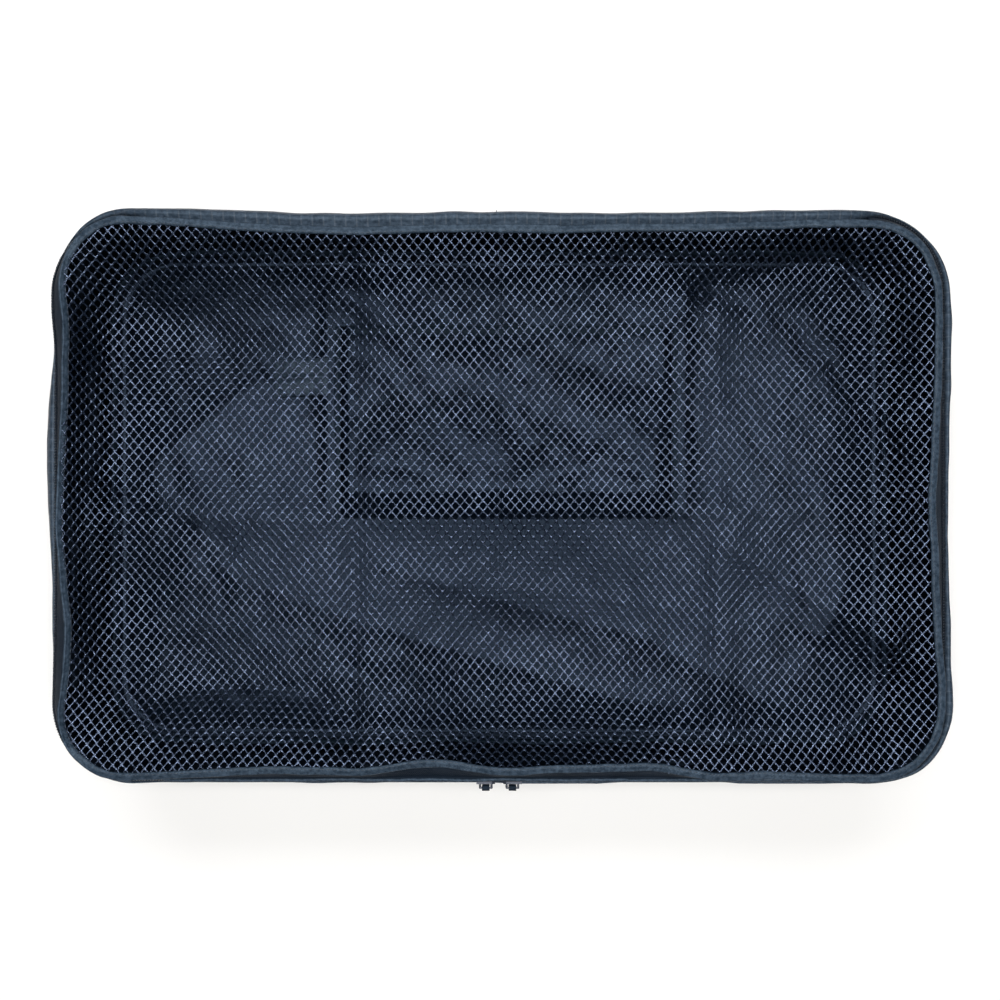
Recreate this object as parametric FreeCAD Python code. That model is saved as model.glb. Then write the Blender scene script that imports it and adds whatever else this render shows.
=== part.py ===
import FreeCAD, Part
import os

# Soft travel packing cube, standing on its base with the net lid zipped shut.
# Millimetres. Origin: centre of the base on the surface it stands on.
# +X along the long side, +Y towards the back edge where the lid folds, +Z up.
# Cloth is drawn as solids about one millimetre thick.

V = FreeCAD.Vector

# ---- driving dimensions ----
LENGTH = 400.0            # outside, left to right
WIDTH = 256.0             # outside, front to back
HEIGHT = 100.0            # table to the top of the lid's rim
CORNER_R = 36.0           # plan radius of the four corners
CLOTH = 1.0               # thickness of a cloth panel

BOX_TOP = 74.0            # the zipped walls stand straight up to here
HEM_Z = 84.0              # and lean in to here
HEM_TOP = 86.0            # top edge of the hem that is sewn to the lower zip tape
HEM_INSET = 1.0           # how far the hem stands in from the outline
BACK_RAISE = 9.6          # the back wall has no zip, so it reaches this much higher

CHAIN_Z = 89.0            # middle line of the zip
CHAIN_GAP = 0.8           # between the two rows of coil
COIL_TALL = 1.8
COIL_THICK = 1.4
TAPE_THICK = 0.8
TAPE_INSET = HEM_INSET + CLOTH
TAPE_LOW_Z = 78.0
TAPE_HIGH_Z = 96.0
UPPER_ZIP_SHORT = 0.6     # the upper half stops this far short of the back wall

BIND_INSET = 5.5          # outer edge of the lid's binding
BIND_WIDE = 3.8
BIND_LOW_Z = 96.2
BIND_LAP_THICK = 0.6      # second layer where the binding's ends overlap
BIND_LAP_X = (-1.5, 27.5)

NET_RIM_Z = 98.0          # top face of the net at the binding
NET_FLOOR_Z = 84.0        # top face of the sagging middle
NET_FLOOR_INSET = 30.0

POUCH_X = (-81.5, 88.5)   # stow pouch on the base
POUCH_Y = (-13.0, 88.0)
POUCH_TALL = 10.0
POUCH_SLOPE = 10.0        # the roof stands in from the pouch's foot by this much
POUCH_EDGE = 4.0          # width of the bound edges beside the pouch
HEM_WIDE = 6.0

TAB_X = (-115.0, -87.0)   # folded pull tab beside the pouch
TAB_Y = (52.0, 71.0)
TAB_THICK = 1.6
TAB_LIFT = 0.4            # clear of the base panel

SLIDER_X = 6.0            # middle of each slider from the centre of the front
SLIDER_LONG = 8.4
SLIDER_PLATE = 1.2
SLIDER_CLEAR = 0.25
BAR_R = 0.5               # crown bar that holds the pull
BAR_Y = -(WIDTH / 2 + 3.0)
PULL_WIDE = 3.4
PULL_LONG = 26.0

STRAIGHT_X = LENGTH / 2 - CORNER_R
STRAIGHT_Y = WIDTH / 2 - CORNER_R
BIG = 600.0


# ---- helpers ----
def box(x0, x1, y0, y1, z0, z1):
    """Axis-aligned block between two corners."""
    return Part.makeBox(x1 - x0, y1 - y0, z1 - z0, V(x0, y0, z0))


def rounded_wire(x0, x1, y0, y1, radius, z):
    """Closed rounded rectangle at one height."""
    centres = [(x1 - radius, y0 + radius, -90), (x1 - radius, y1 - radius, 0),
               (x0 + radius, y1 - radius, 90), (x0 + radius, y0 + radius, 180)]
    edges = []
    last = None
    first = None
    for cx, cy, start in centres:
        circle = Part.Circle(V(cx, cy, z), V(0, 0, 1), radius)
        arc = Part.ArcOfCircle(circle, radians(start), radians(start + 90)).toShape()
        begin, end = arc.valueAt(arc.FirstParameter), arc.valueAt(arc.LastParameter)
        if last is not None:
            edges.append(Part.makeLine(last, begin))
        first = first or begin
        edges.append(arc)
        last = end
    edges.append(Part.makeLine(last, first))
    return Part.Wire(edges)


def radians(degrees):
    return degrees * 3.141592653589793 / 180.0


def outline(inset, z):
    """The cube's plan outline, moved in by inset."""
    x, y = LENGTH / 2 - inset, WIDTH / 2 - inset
    return rounded_wire(-x, x, -y, y, CORNER_R - inset, z)


def slab(inset, z0, z1):
    return Part.Face(outline(inset, z0)).extrude(V(0, 0, z1 - z0))


def cone(inset0, z0, inset1, z1):
    """Slab whose outline moves from one inset to another on the way up."""
    return Part.makeLoft([outline(inset0, z0), outline(inset1, z1)], True, True)


def ring(outer, inner, z0, z1):
    return slab(outer, z0, z1).cut(slab(inner, z0, z1))


def keep(shape, region):
    """The part of a shape inside a region."""
    return shape.common(region)


def back_straight(extra):
    """The straight middle of the back edge, which has no zip, and extra past each end."""
    return box(-STRAIGHT_X - extra, STRAIGHT_X + extra, 0, BIG, -1, BIG)


def export(name, shape):
    shape = shape.removeSplitter()
    solids = shape.Solids
    shape = solids[0] if len(solids) == 1 else Part.makeCompound(solids)
    shape.exportStep(os.path.join("parts", name + ".step"))
    print(name, len(solids), round(shape.Volume, 1), shape.isValid())


# ---- walls ----
def wall_section(raise_by):
    """Whole wall ring: upright, then leaning in, then the hem."""
    low, lean, top = BOX_TOP + raise_by, HEM_Z + raise_by, HEM_TOP + raise_by
    upright = ring(0, CLOTH, CLOTH, low)
    leaning = cone(0, low, HEM_INSET, lean).cut(cone(CLOTH, low, HEM_INSET + CLOTH, lean))
    hem = ring(HEM_INSET, HEM_INSET + CLOTH, lean, top)
    return upright.fuse([leaning, hem])


def walls():
    """The wall strip, divided at the four corners and at its seam behind."""
    zipped = wall_section(0.0)
    hinged = wall_section(BACK_RAISE)
    export("wall_front", keep(zipped, box(-STRAIGHT_X, STRAIGHT_X, -BIG, 0, 0, BIG)))
    export("wall_back_left", keep(hinged, box(-STRAIGHT_X, 0, 0, BIG, 0, BIG)))
    export("wall_back_right", keep(hinged, box(0, STRAIGHT_X, 0, BIG, 0, BIG)))
    for side, x0, x1, corner0, corner1 in (("left", -BIG, 0, -BIG, -STRAIGHT_X),
                                           ("right", 0, BIG, STRAIGHT_X, BIG)):
        export("wall_" + side, keep(zipped, box(x0, x1, -STRAIGHT_Y, STRAIGHT_Y, 0, BIG)))
        front = keep(zipped, box(corner0, corner1, -BIG, -STRAIGHT_Y, 0, BIG))
        back = keep(zipped, box(corner0, corner1, STRAIGHT_Y, BIG, 0, BIG))
        export("wall_corner_front_" + side, front)
        export("wall_corner_back_" + side, back)


def base():
    export("base_panel", slab(0, 0, CLOTH))
    seam = ring(CLOTH, CLOTH + 1.6, CLOTH, CLOTH + 5.0)
    export("base_seam_binding", seam)


# ---- zip ----
def zip_halves():
    tape_in = TAPE_INSET + TAPE_THICK
    coil_out = TAPE_INSET - COIL_THICK
    half_gap = CHAIN_GAP / 2
    low_top, high_bottom = CHAIN_Z - half_gap, CHAIN_Z + half_gap
    tape_low = ring(TAPE_INSET, tape_in, TAPE_LOW_Z, low_top)
    tape_high = ring(TAPE_INSET, tape_in, high_bottom, TAPE_HIGH_Z)
    coil_low = ring(coil_out, TAPE_INSET, low_top - COIL_TALL, low_top)
    coil_high = ring(coil_out, TAPE_INSET, high_bottom, high_bottom + COIL_TALL)
    export("zip_tape_lower", tape_low.cut(back_straight(0)))
    export("zip_coil_lower", coil_low.cut(back_straight(0)))
    export("zip_tape_upper", tape_high.cut(back_straight(UPPER_ZIP_SHORT)))
    export("zip_coil_upper", coil_high.cut(back_straight(UPPER_ZIP_SHORT)))


def zip_end_tabs():
    """Cloth tabs folded over the zip's ends, on the inside of the back wall."""
    y = WIDTH / 2 - TAPE_INSET
    top = HEM_TOP + BACK_RAISE - 0.6
    left = box(-STRAIGHT_X, -STRAIGHT_X + 14, y - 1.4, y, TAPE_LOW_Z, top)
    export("zip_end_tab_left", left)
    export("zip_end_tab_right", left.mirror(V(0, 0, 0), V(1, 0, 0)))


def slider_body():
    """Slider centred on x = 0: two plates, a neck between the coils and a crown."""
    face = -(WIDTH / 2 - TAPE_INSET)
    outer_in = face - COIL_THICK - SLIDER_CLEAR
    outer_out = outer_in - SLIDER_PLATE
    inner_out = face + TAPE_THICK + SLIDER_CLEAR
    half = SLIDER_LONG / 2
    z0, z1 = HEM_TOP + 0.2, CHAIN_Z + 2.7
    plate = Part.Face(Part.makePolygon([
        V(-half, 0, z0 + 0.7), V(-half + 1.4, 0, z0), V(half, 0, z0), V(half, 0, z1),
        V(-half + 1.4, 0, z1), V(-half, 0, z1 - 0.7), V(-half, 0, z0 + 0.7)]))
    outer = plate.extrude(V(0, SLIDER_PLATE, 0))
    outer.translate(V(0, outer_out, 0))
    inner = plate.extrude(V(0, 1.0, 0))
    inner.translate(V(0, inner_out, 0))
    neck = box(-half, -half + 2.4, outer_in, inner_out, CHAIN_Z - 0.25, CHAIN_Z + 0.25)
    flange = box(-half + 1.4, half, outer_in, face + 0.1, z0, z0 + 0.35)
    flange = flange.cut(box(-BIG, BIG, face - 0.15, BIG, 0, BIG))
    legs = [Part.makeCylinder(BAR_R, outer_out - BAR_Y + 0.2, V(x, BAR_Y, CHAIN_Z), V(0, 1, 0))
            for x in (-2.6, 2.6)]
    knees = [Part.makeSphere(BAR_R, V(x, BAR_Y, CHAIN_Z)) for x in (-2.6, 2.6)]
    bar = Part.makeCylinder(BAR_R, 5.2, V(-2.6, BAR_Y, CHAIN_Z), V(1, 0, 0))
    return outer.fuse([inner, neck, flange, bar] + legs + knees)


def pull_strap():
    """Narrow cloth strap looped round the crown bar, hanging straight down."""
    half = PULL_WIDE / 2
    loop = Part.makeCylinder(1.4, PULL_WIDE, V(-half, BAR_Y, CHAIN_Z), V(1, 0, 0))
    hole = Part.makeCylinder(0.8, PULL_WIDE, V(-half, BAR_Y, CHAIN_Z), V(1, 0, 0))
    strap = box(-half, half, BAR_Y - 0.45, BAR_Y + 0.45, CHAIN_Z - PULL_LONG, CHAIN_Z - 1.0)
    return loop.fuse(strap).cut(hole)


def sliders():
    body, pull = slider_body(), pull_strap()
    right_body, right_pull = body.copy(), pull.copy()
    for shape in (right_body, right_pull):
        shape.translate(V(SLIDER_X, 0, 0))
    export("slider_right", right_body)
    export("pull_right", right_pull)
    export("slider_left", right_body.mirror(V(0, 0, 0), V(1, 0, 0)))
    export("pull_left", right_pull.mirror(V(0, 0, 0), V(1, 0, 0)))


# ---- lid ----
def lid():
    inner = BIND_INSET + BIND_WIDE
    top = HEIGHT - BIND_LAP_THICK
    export("lid_binding", ring(BIND_INSET, inner, BIND_LOW_Z, top))
    edge = WIDTH / 2 - BIND_INSET
    lap = box(BIND_LAP_X[0], BIND_LAP_X[1], edge - BIND_WIDE, edge, top, HEIGHT)
    export("lid_binding_lap", lap)
    rim, floor = NET_RIM_Z - CLOTH, NET_FLOOR_Z - CLOTH
    dish = cone(NET_FLOOR_INSET, floor, inner, rim).fuse(slab(inner, rim, NET_RIM_Z))
    hollow = cone(NET_FLOOR_INSET, NET_FLOOR_Z, inner, NET_RIM_Z)
    export("mesh_panel", dish.cut(hollow))


# ---- stow pouch on the base ----
def pouch_form(inset, z0, z1):
    """Pouch shape: full size at its foot, smaller at its roof."""
    x0, x1 = POUCH_X[0] + inset, POUCH_X[1] - inset
    y0, y1 = POUCH_Y[0] + inset, POUCH_Y[1] + POUCH_SLOPE
    s = POUCH_SLOPE
    foot = rounded_wire(x0, x1, y0, y1, 4.0, z0)
    roof = rounded_wire(x0 + s, x1 - s, y0 + s, y1 - s, 4.0, z1)
    return Part.makeLoft([foot, roof], True, True)


def pouch():
    roof_top = CLOTH + POUCH_TALL
    outer = pouch_form(0, CLOTH, roof_top)
    room = pouch_form(1.2, CLOTH, roof_top - CLOTH)
    mouth = box(-BIG, BIG, POUCH_Y[1] - 0.2, BIG, 0, BIG)
    export("pouch_panel", outer.cut(room).cut(mouth))
    x0, x1 = POUCH_X[0] + POUCH_SLOPE + 1.0, POUCH_X[1] - POUCH_SLOPE - 1.0
    y1 = POUCH_Y[1] - 0.2
    export("pouch_hem", box(x0, x1, y1 - HEM_WIDE, y1, roof_top, roof_top + 0.8))
    for name, x in (("left", POUCH_X[0] - POUCH_EDGE), ("right", POUCH_X[1])):
        edge = box(x, x + POUCH_EDGE, POUCH_Y[0], POUCH_Y[1], CLOTH, CLOTH + 1.0)
        export("pouch_binding_" + name, edge)
    z = CLOTH + TAB_LIFT
    export("pouch_tab", box(TAB_X[0], TAB_X[1], TAB_Y[0], TAB_Y[1], z, z + TAB_THICK))


os.makedirs("parts", exist_ok=True)
base()
walls()
zip_halves()
zip_end_tabs()
sliders()
lid()
pouch()
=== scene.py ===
import math

import bpy
import numpy as np
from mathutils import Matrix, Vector


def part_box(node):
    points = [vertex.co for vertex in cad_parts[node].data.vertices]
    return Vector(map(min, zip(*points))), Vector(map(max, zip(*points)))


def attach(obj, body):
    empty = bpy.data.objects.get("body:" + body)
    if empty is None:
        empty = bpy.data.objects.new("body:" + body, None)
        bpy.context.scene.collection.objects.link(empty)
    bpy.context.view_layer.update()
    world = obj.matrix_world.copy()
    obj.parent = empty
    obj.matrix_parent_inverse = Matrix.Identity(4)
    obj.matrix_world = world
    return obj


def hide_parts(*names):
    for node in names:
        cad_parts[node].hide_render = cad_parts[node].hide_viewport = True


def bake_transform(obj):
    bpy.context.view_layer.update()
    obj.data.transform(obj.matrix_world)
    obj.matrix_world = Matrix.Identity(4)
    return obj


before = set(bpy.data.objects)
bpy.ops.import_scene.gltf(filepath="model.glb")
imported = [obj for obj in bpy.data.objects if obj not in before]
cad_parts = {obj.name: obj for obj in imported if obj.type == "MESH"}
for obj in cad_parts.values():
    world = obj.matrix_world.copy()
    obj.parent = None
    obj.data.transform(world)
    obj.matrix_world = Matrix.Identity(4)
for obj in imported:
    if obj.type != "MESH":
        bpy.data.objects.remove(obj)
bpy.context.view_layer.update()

MM = 0.001


# ---------------------------------------------------------------- sizes from the frame
def node(name):
    low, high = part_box(name)
    return np.array(low), np.array(high)


HALF_X, HALF_Y = node("base_panel")[1][:2]
CORNER = HALF_Y - node("wall_left")[1][1]
STRAIGHT_X, STRAIGHT_Y = HALF_X - CORNER, HALF_Y - CORNER
QUARTER = math.pi / 2 * CORNER
AROUND = 4 * (STRAIGHT_X + STRAIGHT_Y + QUARTER)
RIM_TOP = node("lid_binding")[1][2]
BIND_OUT = HALF_X - node("lid_binding")[1][0]
CHAIN_Z = (node("zip_coil_lower")[1][2] + node("zip_coil_upper")[0][2]) / 2
COIL_IN = HALF_X - (node("zip_coil_lower")[1][0] - 0.7 * MM)
TAPE_IN = HALF_X - node("zip_tape_lower")[1][0]
POUCH_LOW, POUCH_HIGH = node("pouch_panel")
TAB_LOW, TAB_HIGH = node("pouch_tab")
LAP_LOW, LAP_HIGH = node("lid_binding_lap")
SEAM_IN, SEAM_Z = 1.4 * MM, 3.0 * MM          # inset and height of the base seam
FRONT_RUN = (0.450, 0.800)                    # distances along the rim, from the back's middle:
TAPE_FOLD = (0.472, 0.780)                    # the front, the tape folded over the coil there
LEFT_RUN = (0.800, 1.062)                     # and the left side, where the lid's edge stands up


# ---------------------------------------------------------------- camera and light
def make_camera():
    """Straight above the cube, with the back edge at the top of the picture."""
    data = bpy.data.cameras.new("camera")
    data.lens = 50
    data.sensor_width = 36
    camera = bpy.data.objects.new("camera", data)
    camera.location = (0.4 * MM, -1.3 * MM, 0.715)
    bpy.context.collection.objects.link(camera)
    bpy.context.scene.camera = camera


def area_light(name, where, aim, size, watts, tint=(1, 1, 1)):
    data = bpy.data.lights.new(name, "AREA")
    data.shape = "RECTANGLE"
    data.size, data.size_y = size
    data.energy = watts
    data.color = tint
    light = bpy.data.objects.new(name, data)
    light.location = where
    light.rotation_euler = (Vector(aim) - Vector(where)).to_track_quat("-Z", "Y").to_euler()
    bpy.context.collection.objects.link(light)


def make_light():
    over = (0.011, 0.010)
    area_light("softbox_over", (*over, 1.9), (*over, 0), (1.15, 0.66), 42, (1.0, 0.985, 0.96))
    area_light("softbox_high", (-0.1, 0.95, 1.7), (0, 0, 0.05), (1.3, 0.45), 11.5, (0.98, 0.99, 1.0))
    area_light("softbox_back", (-0.5, 1.7, 1.1), (0, 0, 0.05), (1.2, 0.7), 4, (0.95, 0.97, 1.0))
    area_light("softbox_front", (0.7, -1.7, 0.9), (0, 0, 0.05), (1.2, 0.7), 1.5, (1.0, 0.98, 0.96))
    world = bpy.data.worlds.new("studio")
    world.use_nodes = True
    back = world.node_tree.nodes["Background"]
    back.inputs["Color"].default_value = (0.93, 0.96, 1.0, 1)
    back.inputs["Strength"].default_value = 0.05
    bpy.context.scene.world = world
    bpy.context.scene.view_settings.view_transform = "Standard"


# ---------------------------------------------------------------- small maths
def smooth(t):
    t = np.clip(t, 0.0, 1.0)
    return t * t * (3 - 2 * t)


def hill(x, y, at, reach):
    """Round bump of height 1 at a point, fading over reach (across, up)."""
    return np.exp(-((x - at[0]) / reach[0]) ** 2 - ((y - at[1]) / reach[1]) ** 2)


def fold(distance, reach, soft=1.2 * MM):
    """Crease of height 1: a soft crest with flanks that flatten out over reach."""
    return np.exp((soft - np.sqrt(distance ** 2 + soft ** 2)) / reach)


def kink(distance, plus, minus, soft=1.2 * MM):
    """Fold of height 1 whose flanks reach differently on its two sides."""
    reach = np.where(distance > 0, plus, minus)
    return np.exp((soft - np.sqrt(distance ** 2 + soft ** 2)) / reach)


def between(v, low, high, blur):
    """1 between low and high, fading to 0 over blur on each side."""
    return smooth((v - low) / blur + 0.5) * smooth((high - v) / blur + 0.5)


def crease(x, y, a, b, reach):
    """Fold of height 1 along the segment from a to b, fading out at its ends."""
    dx, dy = b[0] - a[0], b[1] - a[1]
    length = math.hypot(dx, dy)
    share = ((x - a[0]) * dx + (y - a[1]) * dy) / length ** 2
    side = ((x - a[0]) * dy - (y - a[1]) * dx) / length
    return fold(side, reach) * between(share, 0, 1, 0.12)


def waves(x, y, seed, length, count=14):
    """Smooth uneven ripples of about unit height, from sines that run every way."""
    rng = np.random.default_rng(seed)
    total = np.zeros_like(x, dtype=float)
    for _ in range(count):
        angle, phase = rng.uniform(0, 2 * math.pi, 2)
        k = 2 * math.pi / (length * rng.uniform(0.7, 1.6))
        total += np.sin(k * (x * math.cos(angle) + y * math.sin(angle)) + phase)
    return total / math.sqrt(count / 2) / 1.6


def inside(x, y, inset):
    """Distance inwards from the plan outline moved in by inset; negative outside it."""
    r = max(CORNER - inset, 2 * MM)
    qx = np.abs(x) - (HALF_X - inset - r)
    qy = np.abs(y) - (HALF_Y - inset - r)
    out = np.hypot(np.maximum(qx, 0), np.maximum(qy, 0)) + np.minimum(np.maximum(qx, qy), 0)
    return r - out


def rim(s):
    """Plan outline at distance s, clockwise from the middle of the back: x, y, outward nx, ny."""
    s = np.mod(s, AROUND)
    legs = [(STRAIGHT_X, None), (QUARTER, (1, 1, 90)), (2 * STRAIGHT_Y, None),
            (QUARTER, (1, -1, 0)), (2 * STRAIGHT_X, None), (QUARTER, (-1, -1, -90)),
            (2 * STRAIGHT_Y, None), (QUARTER, (-1, 1, 180)), (STRAIGHT_X, None)]
    x, y, nx, ny = (np.zeros_like(s) for _ in range(4))
    begin = 0.0
    px, py, ux, uy = 0.0, HALF_Y, 1.0, 0.0
    for length, corner in legs:
        here = (s >= begin) & (s <= begin + length)
        t = s[here] - begin
        if corner is None:
            x[here], y[here] = px + ux * t, py + uy * t
            nx[here], ny[here] = -uy, ux
            px, py = px + ux * length, py + uy * length
        else:
            cx, cy = corner[0] * STRAIGHT_X, corner[1] * STRAIGHT_Y
            angle = math.radians(corner[2]) - t / CORNER
            nx[here], ny[here] = np.cos(angle), np.sin(angle)
            x[here], y[here] = cx + CORNER * nx[here], cy + CORNER * ny[here]
            last = math.radians(corner[2]) - math.pi / 2
            px, py = cx + CORNER * math.cos(last), cy + CORNER * math.sin(last)
            ux, uy = math.sin(last), -math.cos(last)
        begin += length
    return x, y, nx, ny


def spline(points, count):
    """Smooth curve through points, evenly divided: Catmull-Rom."""
    p = np.array(points, float)
    p = np.vstack([2 * p[0] - p[1], p, 2 * p[-1] - p[-2]])
    t = np.linspace(0, len(points) - 1 - 1e-9, 40 * len(points))
    i, f = t.astype(int), (t % 1)[:, None]
    a, b, c, d = p[i], p[i + 1], p[i + 2], p[i + 3]
    curve = 0.5 * (2 * b + (c - a) * f + (2 * a - 5 * b + 4 * c - d) * f ** 2
                   + (3 * b - a - 3 * c + d) * f ** 3)
    run = np.concatenate([[0], np.cumsum(np.linalg.norm(np.diff(curve, axis=0), axis=1))])
    even = np.linspace(0, run[-1], count)
    return np.stack([np.interp(even, run, curve[:, k]) for k in range(curve.shape[1])], 1)


# ---------------------------------------------------------------- mesh helpers
def make_object(name, points, faces, material, uvs=None):
    """Smooth-shaded mesh object; uvs are one pair for each corner of each face, in metres."""
    mesh = bpy.data.meshes.new(name)
    mesh.from_pydata(np.asarray(points, float).tolist(), [], np.asarray(faces).tolist())
    if uvs is not None:
        layer = mesh.uv_layers.new(name="cloth")
        layer.data.foreach_set("uv", np.asarray(uvs, np.float32).ravel())
    mesh.polygons.foreach_set("use_smooth", [True] * len(mesh.polygons))
    mesh.materials.append(material)
    mesh.update()
    obj = bpy.data.objects.new(name, mesh)
    bpy.context.collection.objects.link(obj)
    return obj


def grid_faces(nu, nv, wrap_u=False, wrap_v=False):
    """Quads of a grid whose points are numbered u * nv + v."""
    u = np.arange(nu if wrap_u else nu - 1)
    v = np.arange(nv if wrap_v else nv - 1)
    a, b = np.meshgrid(u, v, indexing="ij")
    a2, b2 = (a + 1) % nu, (b + 1) % nv
    faces = np.stack([a * nv + b, a2 * nv + b, a2 * nv + b2, a * nv + b2], -1)
    return faces.reshape(-1, 4), (a.ravel(), b.ravel())


def grid_object(name, points, material, wrap_u=False, wrap_v=False, flip=False):
    """Cloth from an nu x nv x 3 grid, with a cloth map measured along its middle lines."""
    nu, nv = points.shape[:2]
    faces, (a, b) = grid_faces(nu, nv, wrap_u, wrap_v)
    mid_v, mid_u = nv // 2, nu // 2
    ring = np.vstack([points[:, mid_v], points[:1, mid_v]])
    row = np.vstack([points[mid_u], points[mid_u][:1]])
    us = np.concatenate([[0], np.cumsum(np.linalg.norm(np.diff(ring, axis=0), axis=1))])
    vs = np.concatenate([[0], np.cumsum(np.linalg.norm(np.diff(row, axis=0), axis=1))])
    uvs = np.stack([np.stack([us[a], vs[b]], 1), np.stack([us[a + 1], vs[b]], 1),
                    np.stack([us[a + 1], vs[b + 1]], 1), np.stack([us[a], vs[b + 1]], 1)], 1)
    if flip:
        faces, uvs = faces[:, ::-1], uvs[:, ::-1]
    return make_object(name, points.reshape(-1, 3), faces, material, uvs)


def thicken(obj, thick, offset=-1.0):
    modifier = obj.modifiers.new("thickness", "SOLIDIFY")
    modifier.thickness = thick
    modifier.offset = offset
    modifier.use_even_offset = False
    return obj


def settle(obj):
    """Applies the modifiers, so that the mesh is final."""
    graph = bpy.context.evaluated_depsgraph_get()
    mesh = bpy.data.meshes.new_from_object(obj.evaluated_get(graph))
    obj.modifiers.clear()
    obj.data = mesh
    return obj


def sweep(name, s, centre_in, centre_z, tilt, section, material):
    """Closed section carried round the rim. Section points are (out, up) pairs."""
    x, y, nx, ny = rim(s)
    points = np.zeros((len(s), len(section), 3))
    for k, (out, up) in enumerate(section):
        o = out * np.cos(tilt) - up * np.sin(tilt) - centre_in
        z = out * np.sin(tilt) + up * np.cos(tilt) + centre_z
        points[:, k] = np.stack([x + nx * o, y + ny * o, z], -1)
    return grid_object(name, points, material, wrap_u=True, wrap_v=True)


# ---------------------------------------------------------------- materials
class Shade:
    """Small helper that adds nodes to a material and links them."""

    def __init__(self, name):
        self.material = bpy.data.materials.new(name)
        self.material.use_nodes = True
        self.tree = self.material.node_tree
        self.shader = self.tree.nodes["Principled BSDF"]
        self.place = self.add("ShaderNodeTexCoord").outputs["Object"]

    def fill(self, sockets, values):
        """Gives each socket its value, or a link where the value is another node's output."""
        for key, value in values.items():
            if hasattr(value, "links"):
                self.tree.links.new(value, sockets[key])
            else:
                sockets[key].default_value = value

    def add(self, kind, inputs=None, **settings):
        made = self.tree.nodes.new(kind)
        for key, value in settings.items():
            setattr(made, key, value)
        self.fill(made.inputs, inputs or {})
        return made

    def noise(self, scale, detail=3.0, rough=0.55):
        inputs = {"Scale": scale, "Detail": detail, "Roughness": rough, "Vector": self.place}
        return self.add("ShaderNodeTexNoise", inputs).outputs["Fac"]

    def cloth_map(self, angle=0.0):
        """The cloth's own map, in metres, turned by an angle."""
        uv = self.add("ShaderNodeUVMap", uv_map="cloth").outputs["UV"]
        turn = self.add("ShaderNodeMapping", {"Vector": uv, "Rotation": (0, 0, angle)})
        return turn.outputs["Vector"]

    def lines(self, pitch, direction, where):
        inputs = {"Scale": 1 / pitch * 2 * math.pi / 20, "Vector": where}
        bands = self.add("ShaderNodeTexWave", inputs, wave_type="BANDS", bands_direction=direction)
        return bands.outputs["Fac"]

    def maths(self, operation, a, b):
        return self.add("ShaderNodeMath", {0: a, 1: b}, operation=operation).outputs[0]

    def mix(self, factor, a, b, **settings):
        """Mix of two colours: sockets 6 and 7 are the colour pair, and output 2 the result."""
        inputs = {"Factor": factor, 6: a, 7: b}
        return self.add("ShaderNodeMix", inputs, data_type="RGBA", **settings).outputs[2]

    def ramp(self, fac, low, high, at=(0.3, 0.7)):
        made = self.add("ShaderNodeValToRGB", {"Fac": fac})
        for element, place, colour in zip(made.color_ramp.elements, at, (low, high)):
            element.position = place
            element.color = (*colour, 1)
        return made.outputs["Color"]

    def spread(self, fac, low, high, at=(0.0, 1.0)):
        inputs = {"Value": fac, "From Min": at[0], "From Max": at[1], "To Min": low, "To Max": high}
        return self.add("ShaderNodeMapRange", inputs).outputs["Result"]

    def bump(self, height, distance, strength=1.0, after=None):
        inputs = {"Height": height, "Distance": distance, "Strength": strength}
        if after is not None:
            inputs["Normal"] = after
        return self.add("ShaderNodeBump", inputs).outputs["Normal"]

    def finish(self, **values):
        """Fills the shader's own sockets and hands over the material."""
        named = {key.replace("_", " "): value for key, value in values.items()}
        self.fill(self.shader.inputs, named)
        return self.material


COOL_TINT = (0.62, 0.80, 1.0)        # colour of the nylon's gloss


def cloth_material(name, dark, light, ripstop=True, grain=0.35 * MM, gloss=(0.40, 0.52),
                   shine=0.25, tint=COOL_TINT, crumple=1.0, turn=0.0, weave_deep=0.05 * MM,
                   square_light=0.022):
    """Thin woven nylon: crumpled, with a fine weave and a faint ripstop square."""
    m = Shade(name)
    flat = m.cloth_map()
    bias = m.cloth_map(turn)
    weave = m.maths("MULTIPLY", m.lines(grain, "X", bias), m.lines(grain, "Y", bias))
    tone = m.maths("MULTIPLY", m.spread(m.noise(28, 4, 0.6), 0.9, 1.1), m.noise(520, 3, 0.7))
    colour = m.ramp(tone, dark, light, (0.38, 0.64))
    bump = m.bump(m.noise(75, 5, 0.6), crumple * 1.1 * MM, 0.75)
    bump = m.bump(m.noise(260, 3, 0.6), crumple * 0.3 * MM, 0.55, bump)
    bump = m.bump(weave, crumple * weave_deep, 0.5, bump)
    if ripstop:
        square = m.maths("MAXIMUM", m.lines(5 * MM, "X", flat), m.lines(5 * MM, "Y", flat))
        thread = m.ramp(square, (0, 0, 0), (1, 1, 1), (0.93, 0.985))
        bump = m.bump(thread, crumple * 0.06 * MM, 0.5, bump)
        colour = m.mix(square_light, colour, thread, blend_type="ADD")
    return m.finish(Base_Color=colour, Roughness=m.spread(m.noise(120, 3), *gloss), Normal=bump,
                    Specular_IOR_Level=shine, Specular_Tint=(*tint, 1))


def tape_material():
    """Zip tape: a close herringbone weave."""
    m = Shade("zip_tape")
    left = m.lines(0.75 * MM, "X", m.cloth_map(math.radians(38)))
    right = m.lines(0.75 * MM, "X", m.cloth_map(math.radians(-38)))
    band = m.ramp(m.lines(4.2 * MM, "Y", m.cloth_map()), (0, 0, 0), (1, 1, 1), (0.48, 0.52))
    bump = m.bump(m.mix(band, left, right), 0.12 * MM, 0.7)
    bump = m.bump(m.noise(420, 2), 0.1 * MM, 0.4, bump)
    return m.finish(Base_Color=m.ramp(m.noise(60, 4), (0.005, 0.009, 0.016), (0.011, 0.017, 0.028)),
                    Roughness=m.spread(m.noise(500, 2), 0.55, 0.75), Normal=bump,
                    Specular_IOR_Level=0.14, Specular_Tint=(*COOL_TINT, 1))


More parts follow.
